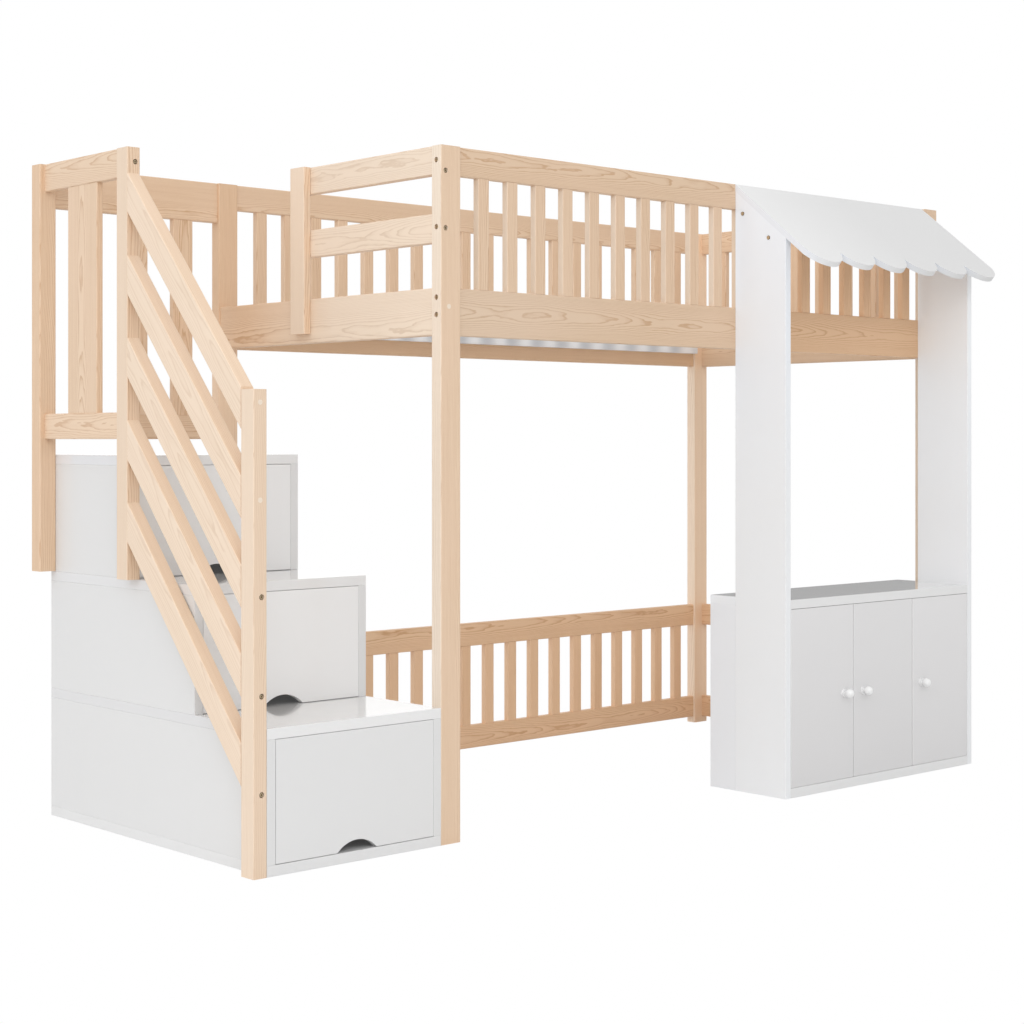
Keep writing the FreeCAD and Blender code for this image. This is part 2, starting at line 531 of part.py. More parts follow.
datum(sk, C("DistanceY", -1, 1, g[2], 2, 8.0), rise)
pad_of(roof, sk, "roof_thick", "roof_board")
# one scallop, then five more along the lower edge
sk = sketch_on(roof, "XY_Plane", "scallop_shape", "-roof_thick")
half = NAMES["roof_wide"] / NAMES["scallop_count"] / 2.0
deep = NAMES["scallop_deep"]
rr = (half * half + deep * deep) / (2 * deep)
cy = -NAMES["roof_notch"] - deep + rr
a1 = math.atan2(-NAMES["roof_notch"] - cy, half)
arc = Part.ArcOfCircle(Part.Circle(V(half, cy, 0), V(0, 0, 1), rr), math.pi - a1, 2 * math.pi + a1)
ga = sk.addGeometry(arc, False)
gl = sk.addGeometry(Part.LineSegment(V(2 * half, -NAMES["roof_notch"], 0), V(0, -NAMES["roof_notch"], 0)), False)
sk.addConstraint(C("Coincident", ga, 2, gl, 1))
sk.addConstraint(C("Coincident", gl, 2, ga, 1))
sk.addConstraint(C("Horizontal", gl))
sk.addConstraint(C("PointOnObject", gl, 2, -2))
datum(sk, C("DistanceX", gl, 2, gl, 1, 2 * half), "roof_wide/scallop_count")
datum(sk, C("DistanceY", gl, 1, -1, 1, NAMES["roof_notch"]), "roof_notch")
datum(sk, C("Radius", ga, rr), "((roof_wide/scallop_count/2)^2 + scallop_deep^2)/(2*scallop_deep)")
scallop = pad_of(roof, sk, "roof_thick", "scallop")
lp = roof.newObject("PartDesign::LinearPattern", "scallop_row")
lp.Originals = [scallop]
lp.Direction = (plane(roof, "X_Axis"), [""])
lp.Mode = "Spacing"
lp.setExpression("Occurrences", ex("scallop_count"))
lp.setExpression("Offset", ex("roof_wide/scallop_count"))
roof.Tip = lp
doc.recompute()
# upper end cut upright, so that it lies flat against the bed's top rail
sk = sketch_on(roof, "YZ_Plane", "roof_end")
pts = [V(9, 0, 0), V(30, -16, 0), V(-4, -16, 0)]
tt = NAMES["roof_thick"]
th = math.radians(NAMES["roof_angle"])
y0 = NAMES["rail_set"] / math.cos(th)
pts = [V(y0, 0, 0), V(y0, -tt, 0), V(y0 - tt * math.tan(th), -tt, 0)]
g = [sk.addGeometry(Part.LineSegment(pts[k], pts[(k + 1) % 3]), False) for k in range(3)]
for k in range(3):
    sk.addConstraint(C("Coincident", g[k], 2, g[(k + 1) % 3], 1))
sk.addConstraint(C("PointOnObject", g[0], 1, -1))
sk.addConstraint(C("Vertical", g[0]))
sk.addConstraint(C("Horizontal", g[1]))
datum(sk, C("DistanceX", -1, 1, g[0], 1, y0), rise)
datum(sk, C("DistanceY", g[0], 2, g[0], 1, tt), "roof_thick")
datum(sk, C("DistanceX", g[1], 2, g[1], 1, tt * math.tan(th)), "roof_thick*tan(roof_angle * 1deg)")
before = roof.Tip.Shape.Volume
po = roof.newObject("PartDesign::Pocket", "roof_end_cut")
po.Profile = sk
po.Reversed = True
po.Type = "ThroughAll"
doc.recompute()
if not roof.Tip.Shape.Volume < before - 1000:
    raise RuntimeError("roof end not cut")

cl = new_body("roof_cleats", "cab_left + board_thick", "0", "roof_top")
cl.Placement.Rotation = FreeCAD.Rotation(V(1, 0, 0), NAMES["roof_angle"])
sk = sketch_on(cl, "YZ_Plane", "roof_cleat_side")
pts = [V(-200, -60, 0), V(-50, -60, 0), V(-50, -16, 0), V(-200, -16, 0)]
g = [sk.addGeometry(Part.LineSegment(pts[k], pts[(k + 1) % 4]), False) for k in range(4)]
for k in range(4):
    sk.addConstraint(C("Coincident", g[k], 2, g[(k + 1) % 4], 1))
sk.addConstraint(C("Horizontal", g[0]))
sk.addConstraint(C("Horizontal", g[2]))
sk.addConstraint(C("Vertical", g[1]))
sk.addConstraint(C("Vertical", g[3]))
datum(sk, C("DistanceX", g[0], 1, -1, 1, 200.0), "roofcleat_far")
datum(sk, C("DistanceX", g[0], 2, -1, 1, 50.0), "roofcleat_near")
datum(sk, C("DistanceY", g[2], 1, -1, 1, 16.0), "roof_thick")
datum(sk, C("DistanceY", g[0], 1, -1, 1, 66.0), "roof_thick + roofcleat_tall")
pad_of(cl, sk, "roofcleat_thick", "roof_cleat_pad")
soften(cl, cl.Tip, "panel_soft", "y")
row(cl, "X_Axis", "2", inner + " - roofcleat_thick")

# --------------------------------------------------------------------- bolts
mid_y = "rail_set + rail_thick/2"
mid_x = "end_set + rail_thick/2"
Z_TOP, Z_A, Z_B = "toprail_low + 35", "bedrail_low + 92", "bedrail_low + 50"


def rail_end(rail, face, u, v, at=None):
    drill(rail, face, u, v, "shank_bore", "rail_bore", at)


# front left post: seats on its left face (front rails) and front face (end rails)
for z in (Z_TOP, "1483", Z_A, Z_B):
    bolt_seat(post_fl, "left", mid_y, z)
for z in ("1618", "1480"):
    bolt_seat(post_fl, "front", mid_x, z)
for z in (Z_TOP, Z_A, Z_B):
    bolt_seat(post_fr, "right", mid_y, z, at="post_wide")
for z in (Z_TOP, "bedrail_low + 70", "guard_up_low + 35", "guard_low + 35"):
    bolt_seat(post_fr, "front", "post_wide - (%s)" % mid_x, z)
back_v = "post_deep - (%s)" % mid_y
for z in (Z_TOP, Z_A, Z_B, "guard_up_low + 35", "guard_low + 35"):
    bolt_seat(post_br, "right", back_v, z, at="post_wide")
for z in (Z_TOP, "bedrail_low + 70", "guard_up_low + 20", "guard_low + 50"):
    bolt_seat(post_br, "back", "post_wide - (%s)" % mid_x, z, at="post_deep")
bolt_seat(post_bl, "back", mid_x, "bedrail_low + 70", at="post_deep")
# the rails' ends
half_r = "rail_thick/2"
for z, r in ((Z_TOP + " - toprail_low", fr_top),):
    rail_end(r, "left", half_r, z)
    rail_end(r, "right", half_r, z, at=span)
for z in (Z_A, Z_B):
    rail_end(fr_bot, "left", half_r, z + " - bedrail_low")
    rail_end(fr_bot, "right", half_r, z + " - bedrail_low", at=span)
    rail_end(bk_bot, "right", half_r, z + " - bedrail_low", at=span)
rail_end(bk_top, "right", half_r, "35", at=span)
rail_end(le_top, "front", half_r, "1618 - toprail_low")
rail_end(le_mid, "front", half_r, "1480 - midrail_low")
rail_end(le_bot, "back", half_r, "70", at=across)
rail_end(re_top, "front", half_r, "35")
rail_end(re_bot, "front", half_r, "70")
rail_end(re_top, "back", half_r, "35", at=across)
rail_end(re_bot, "back", half_r, "70", at=across)
# lower guards: one end bore in the first rail, repeated with it
rg = [o for o in doc.Objects if o.Label == "rear_guard_rails"][0]
eg = [o for o in doc.Objects if o.Label == "end_guard_rails"][0]
for z in ("35", "guard_up_low - guard_low + 35"):
    rail_end(rg, "right", half_r, z, at=span)
    rail_end(eg, "front", half_r, z)
for z in ("50", "guard_up_low - guard_low + 20"):
    rail_end(eg, "back", half_r, z, at=across)
# stair railing
for z in ("623", "403", "185"):
    bolt_seat(newel, "front", "22", z)
bolt_seat(pfront, "front", "newel_thick - 13", "1644 - plat_low")
rail_end(sr_top, "front", "newel_thick - 13 - (newel_thick + stair_wide - side_face)", "1644 - siderail_top_low")
for z, r, low in (("1644", sr_top, "siderail_top_low"), ("1005", sr_bot, "siderail_low")):
    bolt_seat(prear, "back", "prear_wide - (side_face - stair_wide) + 11", z + " - plat_low", at="bed_wide - prear_near")
    rail_end(r, "back", "11", "%s - %s" % (z, low), at=side_run)
doc.recompute()

# one bolt: head with a hexagon socket, and a shank
bolt = doc.addObject("PartDesign::Body", "bolt_pattern_piece")
sk = sketch_on(bolt, "XY_Plane", "bolt_head_ring")
c = sk.addGeometry(Part.Circle(V(0, 0, 0), V(0, 0, 1), 6.0), False)
sk.addConstraint(C("Coincident", c, 3, -1, 1))
datum(sk, C("Radius", c, 6.0), "head_rad")
head = pad_of(bolt, sk, "head_thick", "bolt_head")
f = bolt.newObject("PartDesign::Fillet", "bolt_head_soft")
f.Base = (head, [n for n in ("Edge%d" % (i + 1) for i in range(len(head.Shape.Edges)))
                 if head.Shape.Edges[int(n[4:]) - 1].BoundBox.ZMax < 0.01])
f.Radius = 1.5
doc.recompute()
sk = sketch_on(bolt, "XY_Plane", "bolt_socket")
pr = NAMES["socket_rad"]
hx = [V(pr * math.cos(math.pi / 3 * k), pr * math.sin(math.pi / 3 * k), 0) for k in range(6)]
for k in range(6):
    sk.addGeometry(Part.LineSegment(hx[k], hx[(k + 1) % 6]), False)
for k in range(6):
    sk.addConstraint(C("Coincident", k, 2, (k + 1) % 6, 1))
before = bolt.Tip.Shape.Volume
po = bolt.newObject("PartDesign::Pocket", "bolt_socket_cut")
po.Profile = sk
po.Reversed = True
po.Length = 3
doc.recompute()
if not bolt.Tip.Shape.Volume < before - 10:
    raise RuntimeError("socket not cut")
sk = sketch_on(bolt, "XY_Plane", "bolt_shank_ring", "head_thick")
c = sk.addGeometry(Part.Circle(V(0, 0, 0), V(0, 0, 1), 3.0), False)
sk.addConstraint(C("Coincident", c, 3, -1, 1))
datum(sk, C("Radius", c, 3.0), "shank_rad")
pad_of(bolt, sk, "shank_long", "bolt_shank")

# every bolt sits in the seat drilled for it; their places follow no pattern
sink = NAMES["head_sink"]


def bolt_at(p, into, piece):
    rot = FreeCAD.Rotation(V(0, 0, 1), into)
    s = piece.copy()
    s.Placement = FreeCAD.Placement(p + into * sink, rot)
    return s


def shortened(long_):
    s = bolt.Shape.copy()
    keep = Part.makeBox(40, 40, NAMES["head_thick"] + long_, V(-20, -20, 0))
    return s.common(keep).Solids[0]


solids = []
for body, sk, into in BOLTS:
    c = sk.Geometry[0].Center
    p = body.Placement.multVec(sk.Placement.multVec(V(c.x, c.y, 0)))
    # how much wood lies under the head
    through = {"post_front_left": 62, "post_front_right": 62, "post_back_left": 62, "post_back_right": 62}.get(body.Label, 50)
    if abs(into.y) > 0.5:
        through = {"newel_post": 50, "platform_post_front": 50, "platform_post_rear": 44}.get(body.Label, 36)
    reach = through - NAMES["head_thick"] - sink + 34
    if body.Label == "newel_post":
        reach = through - NAMES["head_thick"] - sink - 2
    if body.Label == "post_front_left" and abs(p.z - 1483) < 1:
        reach = through - NAMES["head_thick"] - sink - 2
    solids.append(bolt_at(p, into, shortened(reach)))
# four screws hold the roof cleats to the tall side boards
for side in (0, 1):
    for k in ("a", "b"):
        s0, s1 = NAMES["roofscrew_" + k], NAMES["roofscrew_drop"]
        py = -s0 * math.cos(th) + s1 * math.sin(th) - NAMES["org_y"]
        pz = NAMES["roof_top"] - s0 * math.sin(th) - s1 * math.cos(th)
        px = (NAMES["cab_left"] if side == 0 else NAMES["cab_right"]) - NAMES["org_x"]
        sgn = 1 if side == 0 else -1
        sh = bolt.Shape.copy()
        head_only = Part.makeCylinder(NAMES["screwhead_rad"], 1.6)
        head_only = head_only.makeFillet(0.7, [e for e in head_only.Edges if e.BoundBox.ZMax < 0.01])
        shank = Part.makeCylinder(NAMES["shank_rad"], NAMES["board_thick"] - 0.5, V(0, 0, 1.6))
        screw = head_only.fuse(shank).removeSplitter()
        screw.Placement = FreeCAD.Placement(V(px - sgn * 1.6, py, pz), FreeCAD.Rotation(V(0, 0, 1), V(sgn, 0, 0)))
        solids.append(screw.Solids[0] if screw.ShapeType != "Solid" else screw)
bolts = doc.addObject("Part::Feature", "frame_bolts")
bolts.Label = "frame_bolts"
bolts.Shape = Part.makeCompound(solids)
PARTS.append(bolts)

# -------------------------------------------------------------- wooden plugs
plugs = []
for n, (body, x, u, z) in enumerate(((post_fl, "plug_post_in", "plug_post_in", "plug_post_high"),
                                     (newel, rail_x + " + plug_newel_in", "plug_newel_in", "plug_newel_low"),
                                     (newel, rail_x + " + plug_newel_in", "plug_newel_in", "plug_newel_high"))):
    drill(body, "front", u, z, "plug_seat", "plug_long")
    c = doc.addObject("Part::Cylinder", "plug_%d" % n)
    c.setExpression("Radius", ex("plug_rad"))
    c.setExpression("Height", ex("plug_long"))
    c.Placement = FreeCAD.Placement(V(0, 0, 0), FreeCAD.Rotation(V(1, 0, 0), 90))
    c.setExpression("Placement.Base.x", ex("%s - org_x" % x))
    c.setExpression("Placement.Base.y", ex("plug_long - org_y"))
    c.setExpression("Placement.Base.z", ex(z))
    plugs.append(c)
grp = doc.addObject("Part::Compound", "wood_plugs")
grp.Label = "wood_plugs"
grp.Links = plugs
PARTS.append(grp)

# ---------------------------------------------------------------- pivot pins
pins = []


def pin(name, x, y, z, axis, long_):
    c = doc.addObject("Part::Cylinder", name)
    c.setExpression("Radius", ex("pin_rad"))
    c.setExpression("Height", ex(long_))
    if axis == "x":
        c.Placement = FreeCAD.Placement(V(0, 0, 0), FreeCAD.Rotation(V(0, 1, 0), 90))
    c.setExpression("Placement.Base.x", ex("%s - org_x" % x))
    c.setExpression("Placement.Base.y", ex("%s - org_y" % y))
    c.setExpression("Placement.Base.z", ex(z))
    pins.append(c)


plen = "pin_in_panel + door_gap + pin_in_door - 1"
for tag, near, low in TIERS:
    z = "tread_%s - lid_thick - door_gap - pivot_inset" % tag
    y = "%s + pivot_inset" % near
    pin("pin_l_" + tag, "-stair_wide + side_thick - pin_in_panel + 0.5", y, z, "x", plen)
    pin("pin_r_" + tag, "-side_thick - door_gap - pin_in_door + 0.5", y, z, "x", plen)
for k, (d, x0, hinge_u, knob_u) in enumerate(LEAVES):
    x = "%s + (%s)" % (x0, hinge_u)
    pin("pin_low_%d" % k, x, "-cab_front + pivot_inset", "base_thick - pin_in_panel + 0.5", "z", plen)
    pin("pin_high_%d" % k, x, "-cab_front + pivot_inset", "counter_top - counter_thick - door_gap - pin_in_door + 0.5", "z", plen)
grp = doc.addObject("Part::Compound", "pivot_pins")
grp.Label = "pivot_pins"
grp.Links = pins
PARTS.append(grp)

doc.recompute()

# ----------------------------------------------------------- checks and files
bad = [o.Name for o in doc.Objects if any(w in str(s) for s in o.State for w in ("Invalid", "Error"))]
if bad:
    raise RuntimeError("failed objects: " + ", ".join(bad))
total = None
for p in PARTS:
    if p.Shape.isNull() or not p.Shape.isValid() or not p.Shape.Solids:
        raise RuntimeError("bad shape: " + p.Label)
    bb = p.Shape.BoundBox
    if total is None:
        total = FreeCAD.BoundBox(bb)
    else:
        total.add(bb)
print("nodes %d, solids %d" % (len(PARTS), sum(len(p.Shape.Solids) for p in PARTS)))
for p in PARTS:
    bb = p.Shape.BoundBox
    print("%-28s %2d  X %8.1f %8.1f  Y %8.1f %8.1f  Z %8.1f %8.1f  V %.0f" % (p.Label, len(p.Shape.Solids), bb.XMin, bb.XMax, bb.YMin, bb.YMax, bb.ZMin, bb.ZMax, p.Shape.Volume / 1000.0))
print("box X %.2f..%.2f  Y %.2f..%.2f  Z %.2f..%.2f" % (total.XMin, total.XMax, total.YMin, total.YMax, total.ZMin, total.ZMax))
print("centre offset %.3f %.3f" % (total.Center.x, total.Center.y))

os.makedirs("parts", exist_ok=True)
for p in PARTS:
    p.Shape.exportStep("parts/%s.step" % p.Label)
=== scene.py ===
import math
import zlib

import bpy
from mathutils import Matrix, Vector


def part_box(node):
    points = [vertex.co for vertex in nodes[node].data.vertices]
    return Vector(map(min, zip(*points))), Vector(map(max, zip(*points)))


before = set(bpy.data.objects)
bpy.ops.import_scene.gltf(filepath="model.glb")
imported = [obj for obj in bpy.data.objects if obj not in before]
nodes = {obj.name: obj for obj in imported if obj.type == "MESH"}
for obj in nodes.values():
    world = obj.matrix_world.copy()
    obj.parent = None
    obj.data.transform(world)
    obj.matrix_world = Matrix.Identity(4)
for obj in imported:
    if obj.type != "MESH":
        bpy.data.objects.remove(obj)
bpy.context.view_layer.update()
scene = bpy.context.scene


# ---------------------------------------------------------------- node helpers
def seeded(name, k=0):
    """A fixed number from 0 to 1 for a name."""
    return (zlib.crc32(("%s/%d" % (name, k)).encode()) % 100003) / 100003.0


class Tree:
    """Small helper that adds and links shader nodes."""

    def __init__(self, tree):
        self.t = tree

    def add(self, kind, **settings):
        n = self.t.nodes.new(kind)
        for k, v in settings.items():
            setattr(n, k, v)
        return n

    def put(self, socket, value):
        if isinstance(value, bpy.types.NodeSocket):
            self.t.links.new(value, socket)
        else:
            socket.default_value = value

    def math(self, op, a, b=None, c=None, clamp=False):
        n = self.add("ShaderNodeMath", operation=op, use_clamp=clamp)
        self.put(n.inputs[0], a)
        if b is not None:
            self.put(n.inputs[1], b)
        if c is not None:
            self.put(n.inputs[2], c)
        return n.outputs[0]

    def xyz(self, x, y, z):
        n = self.add("ShaderNodeCombineXYZ")
        self.put(n.inputs[0], x)
        self.put(n.inputs[1], y)
        self.put(n.inputs[2], z)
        return n.outputs[0]

    def split(self, v):
        n = self.add("ShaderNodeSeparateXYZ")
        self.put(n.inputs[0], v)
        return n.outputs

    def noise(self, vec, scale=1.0, detail=2.0, rough=0.5):
        n = self.add("ShaderNodeTexNoise", noise_dimensions="3D")
        self.put(n.inputs["Vector"], vec)
        n.inputs["Scale"].default_value = scale
        n.inputs["Detail"].default_value = detail
        n.inputs["Roughness"].default_value = rough
        return n.outputs[0]

    def ramp(self, fac, stops, mode="LINEAR"):
        n = self.add("ShaderNodeValToRGB")
        r = n.color_ramp
        r.interpolation = mode
        while len(r.elements) < len(stops):
            r.elements.new(0.5)
        for e, (p, c) in zip(r.elements, stops):
            e.position = p
            e.color = c if len(c) == 4 else (*c, 1.0)
        self.put(n.inputs[0], fac)
        return n.outputs[0]

    def mix(self, fac, a, b, blend="MIX"):
        n = self.add("ShaderNodeMix", data_type="RGBA", blend_type=blend)
        self.put(n.inputs[0], fac)
        self.put(n.inputs[6], a)
        self.put(n.inputs[7], b)
        return n.outputs[2]


def new_material(name):
    m = bpy.data.materials.new(name)
    m.use_nodes = True
    m.node_tree.nodes.clear()
    T = Tree(m.node_tree)
    out = T.add("ShaderNodeOutputMaterial")
    bsdf = T.add("ShaderNodeBsdfPrincipled")
    m.node_tree.links.new(bsdf.outputs[0], out.inputs[0])
    return m, T, bsdf


def grey(v):
    return (v, v, v, 1.0)


# ------------------------------------------------------------------- pine wood
# Growth rings are cylinders round a pith line beside each board, bent by slow
# noise along the grain, so that wide faces show pointed arches and narrow
# faces show straight lines.
PINE_LIGHT = (0.83, 0.615, 0.445, 1.0)
PINE_DARK = (0.615, 0.375, 0.215, 1.0)
# pale grey screened over the wood: painted light on faces along X, and the wood plugs' own pale colour
PINE_PALE_GREY = (0.50, 0.54, 0.49, 1.0)


def pine(name, local, pith, pale=(0.0, 0.0), shade=1.0, rings=290.0, wander=0.016, tone=0.0, warm=0.0, shade_redden_from=None, pale_span=None, upper=None, grain=1.0):
    """local: function giving (u, v, w) sockets in metres from the piece's centre, and a number for each piece."""
    m, T, bsdf = new_material("pine_" + name)
    u, v, w, number = local(T)
    wn = T.add("ShaderNodeTexWhiteNoise", noise_dimensions="1D")
    T.put(wn.inputs["W"], T.math("ADD", number, round(seeded(name) * 900, 2)))
    ra, rb, rc = T.split(wn.outputs["Color"])
    shift_u = T.math("MULTIPLY", ra, 9.0)
    su = T.math("ADD", u, shift_u)
    # slow bend of the pith
    slow = T.noise(T.xyz(T.math("MULTIPLY", su, 2.1), T.math("MULTIPLY", v, 7.0), T.math("ADD", T.math("MULTIPLY", w, 7.0), T.math("MULTIPLY", rb, 13.0))), 1.0, 2.0, 0.45)
    slow = T.math("MULTIPLY", T.math("SUBTRACT", slow, 0.5), wander * 2)
    fine = T.noise(T.xyz(T.math("MULTIPLY", su, 16.0), T.math("MULTIPLY", v, 90.0), T.math("MULTIPLY", w, 90.0)), 1.0, 2.0, 0.5)
    fine = T.math("MULTIPLY", T.math("SUBTRACT", fine, 0.5), 0.0022)
    pv = T.math("ADD", T.math("SUBTRACT", v, pith[0]), T.math("MULTIPLY", T.math("SUBTRACT", rb, 0.5), 0.03))
    pw = T.math("ADD", T.math("SUBTRACT", w, pith[1]), T.math("MULTIPLY", T.math("SUBTRACT", rc, 0.5), 0.02))
    r = T.math("SQRT", T.math("ADD", T.math("MULTIPLY", pv, pv), T.math("MULTIPLY", pw, pw)))
    r = T.math("ADD", T.math("ADD", r, slow), T.math("ADD", fine, T.math("MULTIPLY", su, 0.012)))
    # uneven ring widths
    uneven = T.noise(T.xyz(T.math("MULTIPLY", r, 60.0), 3.1, ra), 1.0, 1.0, 0.5)
    turns = T.math("ADD", T.math("MULTIPLY", r, rings), T.math("MULTIPLY", uneven, 1.6))
    t = T.math("FRACT", turns)
    late = T.ramp(t, [(0.0, grey(0.0)), (0.40, grey(0.05)), (0.70, grey(0.35)), (0.86, grey(1.0)), (0.93, grey(0.9)), (1.0, grey(0.0))], "EASE")
    # fine straight fibre lines
    fibre = T.noise(T.xyz(T.math("MULTIPLY", su, 9.0), T.math("MULTIPLY", v, 950.0), T.math("MULTIPLY", w, 950.0)), 1.0, 2.0, 0.6)
    streak = T.noise(T.xyz(T.math("MULTIPLY", su, 2.5), T.math("MULTIPLY", v, 110.0), T.math("MULTIPLY", w, 110.0)), 1.0, 3.0, 0.55)
    patch = T.noise(T.xyz(T.math("MULTIPLY", su, 3.0), T.math("MULTIPLY", v, 9.0), T.math("MULTIPLY", w, 9.0)), 1.0, 2.0, 0.5)
    strength = T.math("ADD", 0.42, T.math("MULTIPLY", patch, 0.74))
    dark = T.math("MULTIPLY", T.math("MULTIPLY", late, strength), grain)
    dark = T.math("ADD", dark, T.math("MULTIPLY", T.math("SUBTRACT", fibre, 0.5), 0.34))
    dark = T.math("ADD", dark, T.math("MULTIPLY", T.math("SUBTRACT", streak, 0.5), 0.55))
    dark = T.math("ADD", dark, T.math("MULTIPLY", T.math("SUBTRACT", ra, 0.5), 0.18))
    dark = T.math("ADD", dark, tone - 0.025, clamp=True)
    colour = T.mix(dark, PINE_LIGHT, PINE_DARK)
    # pinkish and yellowish areas
    tint = T.mix(patch, (1.0, 0.975, 0.955, 1.0), (0.985, 1.0, 0.965, 1.0))
    colour = T.mix(1.0, colour, tint, "MULTIPLY")
    # painted shade: a redder, warmer colour on pieces that stand in shade, or beyond a certain place along X where
    # they do
    shade_redden = warm
    if shade_redden_from is not None:
        at_x = T.split(T.add("ShaderNodeTexCoord").outputs["Object"])[0]
        shade_redden = T.math("MULTIPLY", T.math("SUBTRACT", at_x, shade_redden_from), 12.0, clamp=True)
    # painted light: faces along X are screened paler, as if lit more, and the other faces by a smaller amount; the
    # wood plugs are pale on all faces as their own colour
    if pale[0] or pale[1]:
        side = T.split(T.add("ShaderNodeNewGeometry").outputs["Normal"])[0]
        side = T.math("ADD", T.math("MULTIPLY", T.math("MULTIPLY", side, side), pale[0] - pale[1]), pale[1])
        if shade_redden_from is not None:
            side = T.math("MULTIPLY", side, T.math("SUBTRACT", 1.0, shade_redden))
        if pale_span:
            # the painted light fades out along the board
            axis, full, none = pale_span
            at = T.split(T.add("ShaderNodeTexCoord").outputs["Object"])["xyz".index(axis)]
            side = T.math("MULTIPLY", side, T.math("DIVIDE", T.math("SUBTRACT", none, at), none - full, clamp=True))
        colour = T.mix(side, colour, PINE_PALE_GREY, "SCREEN")
    # painted shade and light: each piece is made darker or lighter overall for the light it gets
    colour = T.mix(1.0, colour, (shade, shade, shade, 1.0), "MULTIPLY")
    if upper:
        # painted shade: darker and redder above a certain height, where the piece stands in shade
        low_z, high_z, upper_shade_tint = upper
        high = T.math("DIVIDE", T.math("SUBTRACT", T.split(T.add("ShaderNodeTexCoord").outputs["Object"])[2], low_z), high_z - low_z, clamp=True)
        colour = T.mix(high, colour, T.mix(1.0, colour, (*upper_shade_tint, 1.0), "MULTIPLY"))
    # painted shade: the shaded part is multiplied by a redder, warmer tint
    if warm or shade_redden_from is not None:
        colour = T.mix(shade_redden, colour, T.mix(1.0, colour, (1.10, 0.985, 0.86, 1.0), "MULTIPLY"))
    T.put(bsdf.inputs["Base Color"], colour)
    rough = T.math("ADD", 0.36, T.math("MULTIPLY", T.math("ADD", late, fibre), 0.07))
    T.put(bsdf.inputs["Roughness"], rough)
    bsdf.inputs["IOR"].default_value = 1.5
    bump = T.add("ShaderNodeBump")
    bump.inputs["Strength"].default_value = 0.22
    bump.inputs["Distance"].default_value = 0.0006
    T.put(bump.inputs["Height"], T.math("ADD", T.math("MULTIPLY", late, -0.5), T.math("MULTIPLY", fibre, 0.8)))
    T.put(bsdf.inputs["Normal"], bump.outputs[0])
    return m


def local_straight(node, axes, row=None):
    """Coordinates along and across one board, or a row of equal boards.

    axes: letters of the grain, width and thickness directions.
    row: (axis letter, size of one piece, number of pieces)."""
    lo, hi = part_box(node)
    c = (lo + hi) / 2

    def build(T):
        co = T.add("ShaderNodeTexCoord").outputs["Object"]
        s = T.split(co)
        at = {"x": s[0], "y": s[1], "z": s[2]}
        mid = {"x": c.x, "y": c.y, "z": c.z}
        number = 0.0
        rel = {}
        for a in "xyz":
            if row and a == row[0]:
                i = "xyz".index(a)
                size, count = row[1], row[2]
                pitch = (hi[i] - lo[i] - size) / (count - 1)
                first = lo[i] + size / 2
                q = T.math("DIVIDE", T.math("SUBTRACT", at[a], first), pitch)
                number = T.math("ROUND", q)
                rel[a] = T.math("MULTIPLY", T.math("SUBTRACT", q, number), pitch)
            else:
                rel[a] = T.math("SUBTRACT", at[a], mid[a])
        if not row:
            number = T.math("ADD", 0.0, 0.0)
        return rel[axes[0]], rel[axes[1]], rel[axes[2]], number

    return build


def local_sloping(node, run, rise, pitch, first_mid, x_mid):
    """Coordinates along parallel sloping boards in the YZ plane."""
    length = math.hypot(run, rise)
    cy, sy = run / length, rise / length

    def build(T):
        co = T.add("ShaderNodeTexCoord").outputs["Object"]
        s = T.split(co)
        y = T.math("SUBTRACT", s[1], first_mid[0])
        z = T.math("SUBTRACT", s[2], first_mid[1])
        u = T.math("ADD", T.math("MULTIPLY", y, cy), T.math("MULTIPLY", z, sy))
        v = T.math("SUBTRACT", T.math("MULTIPLY", z, cy), T.math("MULTIPLY", y, sy))
        q = T.math("DIVIDE", v, pitch * cy)
        number = T.math("ROUND", q)
        v = T.math("MULTIPLY", T.math("SUBTRACT", q, number), pitch * cy)
        return u, v, T.math("SUBTRACT", s[0], x_mid), number

    return build


X, Y, Z = "x", "y", "z"
WOOD = {
    "post_front_left": ((Z, X, Y), None), "post_front_right": ((Z, X, Y), None),
    "post_back_left": ((Z, X, Y), None), "post_back_right": ((Z, X, Y), None),
    "front_rail_top": ((X, Z, Y), None), "front_rail_bottom": ((X, Z, Y), None),
    "back_rail_top": ((X, Z, Y), None), "back_rail_bottom": ((X, Z, Y), None),
    "platform_back_rail_top": ((X, Z, Y), None), "platform_back_rail_bottom": ((X, Z, Y), None),
    "rear_guard_rails": ((X, Z, Y), (Z, 0.070, 2)),
    "front_balusters": ((Z, X, Y), (X, 0.0355, 19)), "back_balusters": ((Z, X, Y), (X, 0.0355, 19)),
    "rear_guard_balusters": ((Z, X, Y), (X, 0.0355, 19)),
    "left_end_rail_top": ((Y, Z, X), None), "left_end_rail_middle": ((Y, Z, X), None),
    "left_end_rail_bottom": ((Y, Z, X), None), "right_end_rail_top": ((Y, Z, X), None),
    "right_end_rail_bottom": ((Y, Z, X), None), "platform_side_rail_top": ((Y, Z, X), None),
    "platform_side_rail_bottom": ((Y, Z, X), None),
    "end_guard_rails": ((Y, Z, X), (Z, 0.070, 2)),
    "right_end_balusters": ((Z, Y, X), (Y, 0.0355, 8)), "end_guard_balusters": ((Z, Y, X), (Y, 0.0355, 8)),
    "entry_post": ((Z, Y, X), None), "platform_side_board": ((Z, Y, X), None),
    "newel_post": ((Z, Y, X), None), "platform_post_front": ((Z, Y, X), None),
    "platform_post_rear": ((Z, Y, X), None),
    "platform_back_boards": ((Z, X, Y), (X, 0.062, 3)),
    "wood_plugs": ((X, Z, Y), None),
}
